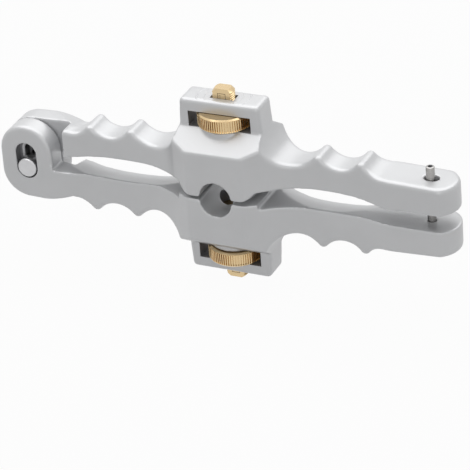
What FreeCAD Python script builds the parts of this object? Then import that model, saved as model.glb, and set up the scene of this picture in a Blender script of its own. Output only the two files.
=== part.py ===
"""Two-arm fibre stripper: a pair of identical castings that close round a cable.

Each casting carries a brass blade cartridge on the blade axis. A knurled nut, trapped in a
window of the housing, drives the cartridge along that axis. At one end a floating pivot pin
joins the castings through two stepped slots, so the arms hinge and also spread. At the
other end a steel pin in the lower arm guides the upper arm.

Millimetres. X runs along the arms to the guide pin, Y along the cable, Z along the blades.
The origin is the middle of the cable channel, on the parting face of the lower arm. Every
piece of the upper arm is modelled like its twin below and then turned over with the arm.
"""

import FreeCAD
import Part
import Sketcher
import math
import os

V = FreeCAD.Vector


class Dim:
    """A length read from the sheet, with the expression that binds a feature to it."""

    def __init__(self, value, text):
        self.value = float(value)
        self.text = text

    def __add__(self, other):
        other = dim(other)
        return Dim(self.value + other.value, "(%s + %s)" % (self.text, other.text))

    def __radd__(self, other):
        return dim(other) + self

    def __sub__(self, other):
        other = dim(other)
        return Dim(self.value - other.value, "(%s - %s)" % (self.text, other.text))

    def __rsub__(self, other):
        return dim(other) - self

    def __mul__(self, other):
        other = dim(other)
        return Dim(self.value * other.value, "(%s * %s)" % (self.text, other.text))

    def __rmul__(self, other):
        return dim(other) * self

    def __truediv__(self, other):
        other = dim(other)
        return Dim(self.value / other.value, "(%s / %s)" % (self.text, other.text))

    def __neg__(self):
        return Dim(-self.value, "(0 - %s)" % self.text)


def dim(number):
    """A bare number as a Dim, so that it can stand in a sum."""
    if isinstance(number, Dim):
        return number
    return Dim(number, "%.10g" % number)


def root(number):
    return Dim(math.sqrt(number.value), "sqrt(%s)" % number.text)


def tangent_bulge(run, rise):
    """The bulge of an arc over run and rise that leaves one of its ends along the run."""
    chord = root(run * run + rise * rise)
    return chord / 2 * (chord - run) / rise


class Sizes:
    """The driving dimensions, kept in a spreadsheet and read back as Dims."""

    def __init__(self, document, sizes):
        sheet = document.addObject("Spreadsheet::Sheet", "Sizes")
        self.known = {}
        for row, name in enumerate(sizes, 1):
            sheet.set("A%d" % row, name)
            sheet.set("B%d" % row, "%g" % sizes[name])
            sheet.setAlias("B%d" % row, name)
            self.known[name] = Dim(sizes[name], "Sizes.%s" % name)
        document.recompute()

    def __getattr__(self, name):
        return self.known[name]


# The driving dimensions, in millimetres, slopes and counts aside.
SIZES = {
    # Blade housing, on the blade axis. Depths are measured outward from the parting face.
    "housing_tip": 40.4,
    "housing_base": 28.0,
    "housing_tip_half": 18.5,
    "housing_base_half": 19.3,
    "housing_half_depth": 6.8,
    "window_half": 14.5,
    "window_outer": 35.1,
    "spot_face_radius": 12.6,
    "spot_face_depth": 0.3,

    # Centre block, with its sloping shoulders and clipped corners.
    "block_half_depth": 17.8,
    "block_depth": 20.6,
    "block_face_half": 13.1,
    "block_side_half": 20.1,
    "block_side_depth": 13.8,
    "channel_radius": 7.2,
    "channel_lip": 0.9,
    "block_round": 3.0,
    "sill_round": 1.4,
    "housing_round": 1.9,

    # Finger grips: two crests on each side, with grooves between them.
    "crest_reach": 44.0,
    "crest_gap": 11.9,
    "crest_pitch": 19.6,
    "crest_peak": 22.6,
    "crest_round": 2.3,
    "groove_floor": 16.1,
    "palm_curve": 0.389,
    "flank_run": 9.9,
    "tail_depth": 17.9,
    "tail_bulge": 2.6,
    "scoop_slope": 0.32,
    "scoop_run": 2.0,
    "scoop_depth": 14.4,
    "scoop_crown": 0.9,
    "scoop_bulge": 2.4,
    "nose_neck_depth": 15.7,
    "nose_depth": 14.3,
    "grip_half": 7.0,
    "grip_start": 40.0,
    "flare_run": 21.0,
    "flare_gap": 2.9,
    "nose_flare_gap": 18.5,
    "end_half": 10.0,
    "nose_reach": 106.0,
    "nose_round": 8.5,
    "outer_round": 1.9,

    # Relief between the arms: a flat set-back and a deeper hollow that leans to the far side.
    "relief_depth": 2.2,
    "lobe_half": 18.4,
    "lobe_round": 8.5,
    "hollow_slope": 0.23,
    "tail_hollow_depth": 4.7,
    "tail_hollow_bulge": 3.0,
    "nose_hollow_depth": 3.5,
    "nose_hollow_reach": 73.0,
    "nose_hollow_bulge": 3.3,

    # Hinge end: a stepped slot in an ear of half the width.
    "pivot_reach": 94.5,
    "pivot_drop": 2.6,
    "slot_travel": 7.1,
    "ear_radius": 12.6,
    "ear_crown": 4.8,
    "ear_depth": 17.3,
    "lap_gap": 0.25,
    "shoulder_run": 19.0,
    "head_radius": 4.5,
    "head_depth": 4.4,
    "head_play": 0.4,
    "shank_radius": 2.5,
    "shank_play": 0.2,
    "seat_gap": 0.1,
    "head_stand": 0.2,
    "collar_fit": 0.03,
    "rest_opening": 0.95,

    # Guide pin at the nose.
    "guide_setback": 14.0,
    "guide_radius": 1.9,
    "guide_top": 23.3,
    "guide_seat": 11.0,
    "guide_fit": 0.03,
    "guide_play": 0.7,
    "guide_swing": 1.6,
    "guide_socket": 1.0,
    "guide_socket_depth": 1.5,

    # Blade cartridge: round head, then a threaded stem with two flats.
    "cartridge_end": 10.5,
    "cartridge_waist": 24.0,
    "cartridge_tip": 45.8,
    "cartridge_radius": 5.5,
    "cartridge_play": 0.1,
    "stem_radius": 4.9,
    "stem_half_flat": 2.5,
    "stem_play": 0.1,
    "stem_end_gap": 0.7,
    "blade_thickness": 0.9,
    "blade_play": 0.05,
    "blade_half": 3.6,
    "blade_root": 20.3,
    "blade_reach": 2.8,
    "blade_set": 1.6,
    "tooth_back": 0.9,
    "tooth_front": 1.9,
    "clamp_depth": 14.5,
    "clamp_radius": 1.25,
    "clamp_play": 0.05,
    "clamp_head_radius": 2.3,
    "clamp_head_height": 1.5,
    "clamp_head_seat": 3.0,
    "clamp_shank": 7.4,
    "clamp_slot_half": 0.3,
    "clamp_slot_depth": 0.7,

    # Knurled nut.
    "wheel_radius": 12.2,
    "wheel_height": 6.7,
    "wheel_bore_play": 0.05,
    "knurl_count": 60,
    "knurl_depth": 0.5,
    "knurl_half": 0.32,
    "wheel_bevel": 0.5,
    "small_bevel": 0.4,
    "tip_bevel": 1.3,
}

doc = FreeCAD.newDocument("fibre_stripper")
S = Sizes(doc, SIZES)
guide_reach = S.nose_reach - S.guide_setback


def plane(body, role):
    """One of the body's own origin planes, found by its role."""
    found = None
    for feature in body.Origin.OriginFeatures:
        if feature.Role == role:
            found = feature
    return found


def new_sketch(body, name, role, offset=None, lean=None):
    """A sketch on an origin plane, moved along its normal or leant about X by a slope."""
    sketch = body.newObject("Sketcher::SketchObject", name)
    sketch.AttachmentSupport = [(plane(body, role), "")]
    sketch.MapMode = "FlatFace"
    if offset is not None:
        sketch.AttachmentOffset = FreeCAD.Placement(V(0, 0, offset.value), FreeCAD.Rotation())
        sketch.setExpression("AttachmentOffset.Base.z", offset.text)
    if lean is not None:
        turned = FreeCAD.Rotation(V(-1, 0, 0), math.degrees(math.atan(lean.value)))
        sketch.AttachmentOffset = FreeCAD.Placement(V(0, 0, 0), turned)
        sketch.setExpression("AttachmentOffset.Rotation.Angle", "atan(%s)" % lean.text)
    return sketch


def bind(sketch, constraint, size):
    """Add a constraint and tie it to the sheet where its size comes from there."""
    index = sketch.addConstraint(constraint)
    if "Sizes." in size.text:
        sketch.setExpression("Constraints[%d]" % index, size.text)


def outline(sketch, corners):
    """A closed outline through corners (x, y) or (x, y, bulge).

    A bulge makes the side that ends at that corner an arc. It is the arc's height over its
    chord, positive to the left of the way along the outline.
    """
    base = len(sketch.Geometry)
    count = len(corners)
    ends = []
    for number in range(count):
        x0, y0 = [dim(c) for c in corners[number - 1][:2]]
        x1, y1 = [dim(c) for c in corners[number][:2]]
        start = V(x0.value, y0.value, 0)
        end = V(x1.value, y1.value, 0)
        if len(corners[number]) == 2:
            sketch.addGeometry(Part.LineSegment(start, end), False)
            ends.append((1, 2))
            continue
        bulge = dim(corners[number][2])
        chord = end - start
        left = V(-chord.y, chord.x, 0).normalize()
        middle = (start + end) * 0.5 + left * bulge.value
        sketch.addGeometry(Part.Arc(start, middle, end), False)
        ends.append((2, 1) if bulge.value > 0 else (1, 2))
        half = ((x1 - x0) * (x1 - x0) + (y1 - y0) * (y1 - y0)) / 4
        height = bulge if bulge.value > 0 else -bulge
        bind(sketch, Sketcher.Constraint("Radius", base + number, sketch.Geometry[-1].Radius),
             (half + height * height) / (height * 2))
    for number in range(count):
        side = base + number
        last = base + (number - 1) % count
        first_end = ends[number][0]
        x0, y0 = [dim(c) for c in corners[number - 1][:2]]
        sketch.addConstraint(Sketcher.Constraint(
            "Coincident", last, ends[number - 1][1], side, first_end))
        bind(sketch, Sketcher.Constraint("DistanceX", side, first_end, x0.value), x0)
        bind(sketch, Sketcher.Constraint("DistanceY", side, first_end, y0.value), y0)


def rectangle(sketch, x0, y0, x1, y1):
    outline(sketch, [(x0, y0), (x1, y0), (x1, y1), (x0, y1)])


def circle(sketch, x, y, radius):
    x, y, radius = dim(x), dim(y), dim(radius)
    index = len(sketch.Geometry)
    sketch.addGeometry(Part.Circle(V(x.value, y.value, 0), V(0, 0, 1), radius.value), False)
    bind(sketch, Sketcher.Constraint("DistanceX", index, 3, x.value), x)
    bind(sketch, Sketcher.Constraint("DistanceY", index, 3, y.value), y)
    bind(sketch, Sketcher.Constraint("Radius", index, radius.value), radius)


def upright_slot(sketch, x, low, high, radius):
    """A slot with round ends, whose end centres are at low and high."""
    x, low, high, radius = dim(x), dim(low), dim(high), dim(radius)
    first = len(sketch.Geometry)
    axis = V(0, 0, 1)
    lower = Part.Circle(V(x.value, low.value, 0), axis, radius.value)
    upper = Part.Circle(V(x.value, high.value, 0), axis, radius.value)
    right = x.value + radius.value
    left = x.value - radius.value
    sketch.addGeometry(Part.ArcOfCircle(lower, math.pi, 2 * math.pi), False)
    sketch.addGeometry(Part.LineSegment(V(right, low.value, 0), V(right, high.value, 0)), False)
    sketch.addGeometry(Part.ArcOfCircle(upper, 0, math.pi), False)
    sketch.addGeometry(Part.LineSegment(V(left, high.value, 0), V(left, low.value, 0)), False)
    for side in range(4):
        sketch.addConstraint(Sketcher.Constraint(
            "Coincident", first + side, 2, first + (side + 1) % 4, 1))
    for arc, height in ((first, low), (first + 2, high)):
        bind(sketch, Sketcher.Constraint("DistanceX", arc, 3, x.value), x)
        bind(sketch, Sketcher.Constraint("DistanceY", arc, 3, height.value), height)
        bind(sketch, Sketcher.Constraint("Radius", arc, radius.value), radius)
        bind(sketch, Sketcher.Constraint("DistanceY", arc, 1, height.value), height)
        bind(sketch, Sketcher.Constraint("DistanceY", arc, 2, height.value), height)


def level_slot(sketch, left, right, y, radius):
    """A slot with round ends along X, whose end centres are at left and right."""
    left, right, y, radius = dim(left), dim(right), dim(y), dim(radius)
    first = len(sketch.Geometry)
    axis = V(0, 0, 1)
    near_end = Part.Circle(V(right.value, y.value, 0), axis, radius.value)
    far_end = Part.Circle(V(left.value, y.value, 0), axis, radius.value)
    top = y.value + radius.value
    foot = y.value - radius.value
    sketch.addGeometry(Part.ArcOfCircle(near_end, -math.pi / 2, math.pi / 2), False)
    sketch.addGeometry(Part.LineSegment(V(right.value, top, 0), V(left.value, top, 0)), False)
    sketch.addGeometry(Part.ArcOfCircle(far_end, math.pi / 2, 3 * math.pi / 2), False)
    sketch.addGeometry(Part.LineSegment(V(left.value, foot, 0), V(right.value, foot, 0)), False)
    for side in range(4):
        sketch.addConstraint(Sketcher.Constraint(
            "Coincident", first + side, 2, first + (side + 1) % 4, 1))
    for arc, place in ((first, right), (first + 2, left)):
        bind(sketch, Sketcher.Constraint("DistanceX", arc, 3, place.value), place)
        bind(sketch, Sketcher.Constraint("DistanceY", arc, 3, y.value), y)
        bind(sketch, Sketcher.Constraint("Radius", arc, radius.value), radius)
        bind(sketch, Sketcher.Constraint("DistanceX", arc, 1, place.value), place)
        bind(sketch, Sketcher.Constraint("DistanceX", arc, 2, place.value), place)


def pad(body, name, sketch, length, symmetric=False, flip=False):
    feature = body.newObject("PartDesign::Pad", name)
    feature.Profile = sketch
    feature.Length = length.value
    feature.setExpression("Length", length.text)
    feature.SideType = "Symmetric" if symmetric else "One side"
    feature.Reversed = flip
    sketch.Visibility = False
    doc.recompute()
    if "Invalid" in feature.State or "Error" in feature.State:
        raise RuntimeError("%s of %s fails" % (name, body.Label))
    return feature


def cut(body, name, sketch, length=None, symmetric=False, flip=False):
    """A pocket of the given length, or through everything on both sides."""
    before = body.Shape.Volume
    feature = body.newObject("PartDesign::Pocket", name)
    feature.Profile = sketch
    if length is None:
        feature.Type = "ThroughAll"
        feature.SideType = "Symmetric"
    else:
        feature.Length = length.value
        feature.setExpression("Length", length.text)
        feature.SideType = "Symmetric" if symmetric else "One side"
        feature.Reversed = flip
    sketch.Visibility = False
    doc.recompute()
    if not feature.Shape.Volume < before:
        raise RuntimeError("%s of %s cuts nothing" % (name, body.Label))
    return feature


def edge_names(shape, wanted):
    """The names of the edges whose middle point and direction pass the test."""
    names = []
    for number, edge in enumerate(shape.Edges, 1):
        middle = edge.valueAt((edge.FirstParameter + edge.LastParameter) / 2)
        along = edge.Vertexes[-1].Point - edge.Vertexes[0].Point
        if wanted(middle, along, edge):
            names.append("Edge%d" % number)
    return names


def dress(body, kind, name, size, wanted):
    """A fillet or chamfer of the body's tip on the edges that pass the test."""
    tip = body.Tip
    names = edge_names(tip.Shape, wanted)
    if not names:
        raise RuntimeError("%s of %s finds no edge" % (name, body.Label))
    feature = body.newObject("PartDesign::" + kind, name)
    feature.Base = (tip, names)
    field = "Radius" if kind == "Fillet" else "Size"
    setattr(feature, field, size.value)
    feature.setExpression(field, size.text)
    doc.recompute()
    if "Invalid" in feature.State or "Error" in feature.State:
        raise RuntimeError("%s of %s fails" % (name, body.Label))
    return feature


def near(a, b, margin=0.05):
    return abs(a - b) < margin


# The casting


def side_view(body):
    """The arm seen along the cable, as thick as the block, with its crests rounded."""
    sketch = new_sketch(body, "side_profile", "XZ_Plane")
    first = S.crest_reach
    second = first + S.crest_pitch
    flank = second + S.flank_run
    tail_second = S.pivot_reach - S.shoulder_run - S.crest_gap
    tail_first = tail_second - S.crest_pitch
    tail_flank = tail_second + S.flank_run
    palm = S.palm_curve * (first - S.housing_base_half)
    tail_palm = S.palm_curve * (tail_first - S.housing_base_half)
    drop = S.crest_peak - S.groove_floor
    fall = tangent_bulge(S.flank_run, S.crest_peak - S.nose_neck_depth)
    tail = S.pivot_reach + S.ear_radius
    corner = tangent_bulge(S.ear_radius, S.ear_radius)
    outline(sketch, [
        (S.nose_reach, 0),
        (-tail, 0),
        (-tail, S.ear_radius - S.ear_depth),
        (-S.pivot_reach, -S.ear_depth, -corner),
        (-tail_flank, -S.tail_depth),
        (-tail_second, -S.crest_peak, S.tail_bulge),
        (-tail_first, -S.crest_peak, drop),
        (-S.housing_base_half, -S.housing_base, tail_palm),
        (-S.housing_tip_half, -S.housing_tip),
        (S.housing_tip_half, -S.housing_tip),
        (S.housing_base_half, -S.housing_base),
        (first, -S.crest_peak, palm),
        (second, -S.crest_peak, drop),
        (flank, -S.nose_neck_depth, fall),
        (S.nose_reach, -S.nose_depth)])
    pad(body, "side_form", sketch, S.block_half_depth * 3, symmetric=True)
    peaks = (first.value, second.value, -tail_first.value, -tail_second.value)

    def crest(middle, along, edge):
        over = any(near(middle.x, peak) for peak in peaks)
        return over and near(middle.z, -S.crest_peak.value) and abs(along.y) > 1

    dress(body, "Fillet", "crest_rounds", S.crest_round, crest)


def plan_view(body):
    """Trim to the outline from above: waisted grips, broad block, round nose."""
    sketch = new_sketch(body, "plan_profile", "XY_Plane")
    far = (S.nose_reach + S.pivot_reach + S.ear_radius) * 2
    beyond = S.block_half_depth * 2
    rectangle(sketch, -far, -beyond, far, beyond)
    half_run = S.flare_run / 2
    half_out = (S.grip_half + S.end_half) / 2
    flare = tangent_bulge(half_run, half_out - S.grip_half)
    sweep = tangent_bulge(S.grip_start - S.block_side_half, S.block_side_depth - S.grip_half)
    nose = tangent_bulge(S.nose_round, S.nose_round)
    tail_end = S.pivot_reach - S.ear_radius - S.flare_gap
    nose_start = S.nose_reach - S.nose_round
    nose_end = nose_start - S.nose_flare_gap
    beyond_tail = (S.pivot_reach + S.ear_radius) * 1.5
    front = [
        (-beyond_tail, -S.end_half),
        (-tail_end, -S.end_half),
        (half_run - tail_end, -half_out, -flare),
        (S.flare_run - tail_end, -S.grip_half, flare),
        (-S.grip_start, -S.grip_half),
        (-S.block_side_half, -S.block_side_depth, sweep),
        (-S.block_face_half, -S.block_half_depth),
        (S.block_face_half, -S.block_half_depth),
        (S.block_side_half, -S.block_side_depth),
        (S.grip_start, -S.grip_half, sweep),
        (nose_end - S.flare_run, -S.grip_half),
        (nose_end - half_run, -half_out, flare),
        (nose_end, -S.end_half, -flare),
        (nose_start, -S.end_half),
        (S.nose_reach, S.nose_round - S.end_half, -nose)]
    back = []
    bulge = ()
    for corner in reversed(front):
        back.append((corner[0], -corner[1]) + bulge)
        bulge = tuple(corner[2:])
    outline(sketch, front + back)
    cut(body, "plan_trim", sketch)


def end_view(body):
    """Trim to the section of block and housing, with the sloping shoulders."""
    sketch = new_sketch(body, "section_profile", "YZ_Plane")
    far = S.block_half_depth * 3
    deep = S.housing_tip * 1.5
    above = S.block_half_depth
    rectangle(sketch, -far, -deep * 2, far, above * 2)
    outline(sketch, [
        (-S.block_half_depth, above),
        (-S.block_half_depth, -S.block_depth),
        (-S.housing_half_depth, -S.housing_base),
        (-S.housing_half_depth, -deep),
        (S.housing_half_depth, -deep),
        (S.housing_half_depth, -S.housing_base),
        (S.block_half_depth, -S.block_depth),
        (S.block_half_depth, above)])
    cut(body, "section_trim", sketch)


def outer_rounds(body):
    """Soft outer edges along both arms, round the nose and round the ear."""
    base = S.block_side_half.value
    flank = S.ear_radius.value - S.pivot_reach.value

    def outer(middle, along, edge):
        beyond = abs(middle.x) > base + 1.5
        on_side = abs(middle.y) > S.grip_half.value - 0.5
        nose = middle.x > S.nose_reach.value - S.nose_round.value - 0.1
        upright = abs(along.z) > 0.9 * along.Length and along.Length > 5
        deep = middle.z < -S.nose_depth.value + 0.6
        rim = middle.x < flank - 0.5 and near(middle.y, -S.end_half.value)
        return rim or (beyond and deep and (on_side or nose) and not upright)

    dress(body, "Fillet", "outer_rounds", S.outer_round, outer)


def ear(body):
    """The half-width ear that carries the pivot slot, standing past the parting face."""
    sketch = new_sketch(body, "ear_profile", "XZ_Plane", offset=S.lap_gap)
    left = S.pivot_reach + S.ear_radius
    right = S.pivot_reach - S.ear_radius
    corner = tangent_bulge(S.ear_radius, S.ear_radius)
    foot = S.ear_radius - S.ear_depth
    outline(sketch, [
        (-right, S.ear_crown),
        (-S.pivot_reach, S.ear_crown + S.ear_radius, -corner),
        (-left, S.ear_crown, -corner),
        (-left, foot),
        (-right, foot)])
    pad(body, "ear_form", sketch, S.end_half - S.lap_gap)


def tail_scoop(body):
    """A valley between ear and crest that deepens toward the ear's own side."""
    sketch = new_sketch(body, "scoop_profile", "XZ_Plane", lean=S.scoop_slope)
    level = dim(1) / root(S.scoop_slope * S.scoop_slope + 1)
    rise = S.scoop_slope * S.grip_half
    start = S.pivot_reach - S.scoop_run
    crest = S.pivot_reach - S.shoulder_run - S.crest_gap
    clear = S.housing_tip * 2
    outline(sketch, [
        (-start, -clear),
        (-start, -(S.ear_depth + S.scoop_slope * S.end_half) * level),
        (-(crest + S.flank_run), -(S.scoop_depth + rise) * level, -S.scoop_crown),
        (-crest, -(S.crest_peak + rise) * level, S.scoop_bulge),
        (-crest, -clear)])
    cut(body, "tail_scoop", sketch)


def lap(body):
    """Cut the far half away behind the ear, so that the other arm's ear fits there."""
    sketch = new_sketch(body, "lap_profile", "XY_Plane")
    shoulder = S.pivot_reach - S.shoulder_run
    rectangle(sketch, -S.pivot_reach * 2, -S.lap_gap, -shoulder, S.end_half * 2)
    cut(body, "lap_cut", sketch)


def relief(body, side, reach, depth, hollow_reach, peak, bulge, name):
    """Set one arm's inner face back: flat, and deeper in a hollow that leans away.

    The hollow leans about X, so that on the far side it also rounds the block's lobe.
    """
    clear = S.housing_tip * 2
    edge = S.lobe_half * side
    sketch = new_sketch(body, name + "_flat", "XZ_Plane")
    rectangle(sketch, edge, -depth, reach * side, clear)
    cut(body, name + "_setback", sketch)
    sketch = new_sketch(body, name + "_hollow_profile", "XZ_Plane", lean=S.hollow_slope)
    rise = S.block_half_depth * S.hollow_slope
    foot = bulge - peak
    centre = rise - S.lobe_round
    across = root(S.lobe_round * S.lobe_round - (foot - centre) * (foot - centre))
    chord = across * across + (rise - foot) * (rise - foot)
    curve = S.lobe_round - root(S.lobe_round * S.lobe_round - chord / 4)
    start = edge - S.lobe_round * side
    outline(sketch, [
        (start, clear),
        (start, rise),
        (start + across * side, foot, curve * side),
        (hollow_reach * side, foot, bulge * -side),
        (hollow_reach * side, clear)])
    cut(body, name + "_hollow", sketch)


def soft_block(body):
    """Rounded corners on the housing and on the front and back of the block."""
    above = -S.housing_base.value - 1
    dress(body, "Fillet", "housing_rounds", S.housing_round,
          lambda middle, along, edge: middle.z < above)
    face = S.block_half_depth.value
    side = S.block_face_half.value
    rim = -S.block_depth.value
    dress(body, "Fillet", "block_rounds", S.block_round, lambda middle, along, edge:
          near(abs(middle.x), side) and near(abs(middle.y), face))
    dress(body, "Fillet", "sill_rounds", S.sill_round, lambda middle, along, edge:
          near(abs(middle.y), face) and near(middle.z, rim))


def channel(body):
    """The half-round cable channel across the block, with soft lips."""
    sketch = new_sketch(body, "channel_profile", "XZ_Plane")
    circle(sketch, 0, 0, S.channel_radius)
    cut(body, "channel", sketch)

    def lip(middle, along, edge):
        return near(middle.z, 0) and near(abs(middle.x), S.channel_radius.value)

    dress(body, "Fillet", "channel_lips", S.channel_lip, lip)


def housing_cuts(body):
    """The window for the nut, the cartridge bore and the flat-sided hole in the roof."""
    sketch = new_sketch(body, "window_profile", "XZ_Plane")
    rectangle(sketch, -S.window_half, -S.window_outer, S.window_half, -S.housing_base)
    cut(body, "window", sketch)
    window_middle = (S.housing_base + S.window_outer) / 2
    sketch = new_sketch(body, "bore_profile", "XY_Plane")
    circle(sketch, 0, 0, S.cartridge_radius + S.cartridge_play)
    cut(body, "cartridge_bore", sketch, window_middle)
    sketch = new_sketch(body, "roof_profile", "XY_Plane", offset=-window_middle)
    reach = S.stem_radius + S.stem_end_gap
    width = S.stem_half_flat + S.stem_play
    rectangle(sketch, -reach, -width, reach, width)
    cut(body, "roof_hole", sketch, S.housing_tip)
    sketch = new_sketch(body, "spot_face_profile", "XY_Plane",
                        offset=S.spot_face_depth - S.housing_tip)
    circle(sketch, 0, 0, S.spot_face_radius)
    cut(body, "spot_face", sketch, S.spot_face_depth * 2)


def pivot_slot(body):
    """The stepped slot: wide at the face for the pin's head, narrow for its shank."""
    low = -S.pivot_drop
    high = S.slot_travel - S.pivot_drop
    sketch = new_sketch(body, "head_slot_profile", "XZ_Plane", offset=S.end_half - S.head_depth)
    upright_slot(sketch, -S.pivot_reach, low, high, S.head_radius + S.head_play)
    cut(body, "head_slot", sketch, S.head_depth * 2, flip=True)
    sketch = new_sketch(body, "shank_slot_profile", "XZ_Plane")
    upright_slot(sketch, -S.pivot_reach, low, high, S.shank_radius + S.shank_play)
    cut(body, "shank_slot", sketch)


def pin_seat(body):
    """A blind hole that holds the guide pin."""
    sketch = new_sketch(body, "seat_profile", "XY_Plane")
    circle(sketch, guide_reach, 0, S.guide_radius + S.guide_fit)
    cut(body, "pin_seat", sketch, S.guide_seat)


def pin_passage(body):
    """A hole with room for the pin, longer toward the nose for the arm's swing."""
    sketch = new_sketch(body, "passage_profile", "XY_Plane")
    level_slot(sketch, guide_reach, guide_reach + S.guide_swing, 0,
               S.guide_radius + S.guide_play)
    cut(body, "pin_passage", sketch)


def new_body(name):
    body = doc.addObject("PartDesign::Body", name)
    body.Label = name
    return body


def casting(name, guide_hole):
    """One arm, drawn as the lower one: housing down, ear at the front."""
    body = new_body(name)
    side_view(body)
    plan_view(body)
    end_view(body)
    soft_block(body)
    ear(body)
    lap(body)
    outer_rounds(body)
    tail_scoop(body)
    relief(body, 1, S.nose_reach * 2, S.relief_depth, S.nose_hollow_reach,
           S.nose_hollow_depth, S.nose_hollow_bulge, "nose")
    relief(body, -1, S.pivot_reach - S.ear_radius, S.relief_depth,
           S.pivot_reach - S.ear_radius, S.tail_hollow_depth, S.tail_hollow_bulge, "tail")
    channel(body)
    housing_cuts(body)
    pivot_slot(body)
    guide_hole(body)
    return body


# The blade cartridge


def blade_holder(name):
    """Brass cartridge: slotted head that grips the blade, and a flat-sided stem."""
    body = new_body(name)
    sketch = new_sketch(body, "head_profile", "XY_Plane", offset=-S.cartridge_waist)
    circle(sketch, 0, 0, S.cartridge_radius)
    pad(body, "head", sketch, S.cartridge_waist - S.cartridge_end)
    sketch = new_sketch(body, "stem_profile", "XY_Plane", offset=-S.cartridge_waist)
    circle(sketch, 0, 0, S.stem_radius)
    pad(body, "stem", sketch, S.cartridge_tip - S.cartridge_waist, flip=True)
    dress(body, "Chamfer", "head_bevel", S.small_bevel,
          lambda middle, along, edge: near(middle.z, -S.cartridge_end.value))
    dress(body, "Chamfer", "tip_bevel", S.tip_bevel,
          lambda middle, along, edge: near(middle.z, -S.cartridge_tip.value))
    sketch = new_sketch(body, "flat_profile", "XY_Plane", offset=-S.cartridge_waist)
    side = S.stem_radius * 2
    rectangle(sketch, -side, S.stem_half_flat, side, side)
    rectangle(sketch, -side, -side, side, -S.stem_half_flat)
    cut(body, "stem_flats", sketch, S.cartridge_tip)
    sketch = new_sketch(body, "blade_slot_profile", "XZ_Plane")
    width = S.blade_thickness / 2 + S.blade_play
    rectangle(sketch, -width, -(S.blade_root + S.seat_gap), width, 0)
    cut(body, "blade_slot", sketch)
    sketch = new_sketch(body, "clamp_hole_profile", "YZ_Plane")
    circle(sketch, 0, -S.clamp_depth, S.clamp_radius + S.clamp_play)
    cut(body, "clamp_hole", sketch)
    sketch = new_sketch(body, "clamp_sink_profile", "YZ_Plane", offset=S.clamp_head_seat)
    circle(sketch, 0, -S.clamp_depth, S.clamp_head_radius + S.seat_gap)
    cut(body, "clamp_sink", sketch, S.cartridge_radius, flip=True)
    return body


def blade(name):
    """Flat steel blade with one pointed tooth set off its middle."""
    body = new_body(name)
    sketch = new_sketch(body, "blade_profile", "YZ_Plane")
    shoulder = -S.cartridge_end
    outline(sketch, [
        (-S.blade_half, -S.blade_root),
        (S.blade_half, -S.blade_root),
        (S.blade_half, shoulder),
        (S.blade_set + S.tooth_back, shoulder),
        (S.blade_set, shoulder + S.blade_reach),
        (S.blade_set - S.tooth_front, shoulder),
        (-S.blade_half, shoulder)])
    pad(body, "plate", sketch, S.blade_thickness, symmetric=True)
    sketch = new_sketch(body, "hole_profile", "YZ_Plane")
    circle(sketch, 0, -S.clamp_depth, S.clamp_radius + S.clamp_play)
    cut(body, "clamp_hole", sketch)
    return body


def blade_screw(name):
    """Screw across the head that pinches the slot on the blade."""
    body = new_body(name)
    sketch = new_sketch(body, "head_profile", "YZ_Plane", offset=S.clamp_head_seat)
    circle(sketch, 0, -S.clamp_depth, S.clamp_head_radius)
    pad(body, "head", sketch, S.clamp_head_height)
    sketch = new_sketch(body, "shank_profile", "YZ_Plane", offset=S.clamp_head_seat)
    circle(sketch, 0, -S.clamp_depth, S.clamp_radius)
    pad(body, "shank", sketch, S.clamp_shank, flip=True)
    top = S.clamp_head_seat + S.clamp_head_height
    sketch = new_sketch(body, "drive_profile", "YZ_Plane", offset=top - S.clamp_slot_depth)
    side = S.clamp_head_radius * 2
    rectangle(sketch, -side, -(S.clamp_depth + S.clamp_slot_half),
              side, -(S.clamp_depth - S.clamp_slot_half))
    cut(body, "drive_slot", sketch, S.clamp_head_height, flip=True)
    return body


def thumbwheel(name):
    """Knurled nut in the housing's window; it turns and the cartridge slides."""
    body = new_body(name)
    middle = (S.housing_base + S.window_outer) / 2
    lower = -(middle + S.wheel_height / 2)
    sketch = new_sketch(body, "rim_profile", "XY_Plane", offset=lower)
    circle(sketch, 0, 0, S.wheel_radius)
    pad(body, "rim", sketch, S.wheel_height)
    dress(body, "Chamfer", "rim_bevels", S.wheel_bevel, lambda middle, along, edge: True)
    sketch = new_sketch(body, "bore_profile", "XY_Plane", offset=lower)
    circle(sketch, 0, 0, S.stem_radius + S.wheel_bore_play)
    cut(body, "bore", sketch)
    sketch = new_sketch(body, "knurl_profile", "XY_Plane", offset=lower)
    outside = S.wheel_radius + S.knurl_depth
    width = S.knurl_half * 2
    outline(sketch, [(S.wheel_radius - S.knurl_depth, 0), (outside, -width), (outside, width)])
    notch = cut(body, "knurl_notch", sketch)
    ring = body.newObject("PartDesign::PolarPattern", "knurl")
    ring.Originals = [notch]
    ring.Axis = (plane(body, "Z_Axis"), [""])
    ring.Angle = 360
    ring.Occurrences = int(S.knurl_count.value)
    ring.setExpression("Occurrences", S.knurl_count.text)
    body.Tip = ring
    doc.recompute()
    return body


# The hinge pin and the guide pin


def pivot_pin(name):
    """Floating pin: a flat round head in the front slot and a shank through both ears."""
    body = new_body(name)
    seat = S.end_half - S.head_depth + S.seat_gap
    sketch = new_sketch(body, "head_profile", "XZ_Plane", offset=seat)
    circle(sketch, -S.pivot_reach, -S.pivot_drop, S.head_radius)
    pad(body, "head", sketch, S.head_depth - S.seat_gap + S.head_stand)
    face = -(S.end_half + S.head_stand).value
    dress(body, "Chamfer", "head_bevel", S.small_bevel,
          lambda middle, along, edge: near(middle.y, face))
    sketch = new_sketch(body, "shank_profile", "XZ_Plane", offset=seat)
    circle(sketch, -S.pivot_reach, -S.pivot_drop, S.shank_radius)
    pad(body, "shank", sketch, seat + S.end_half + S.head_stand, flip=True)
    return body


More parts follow.
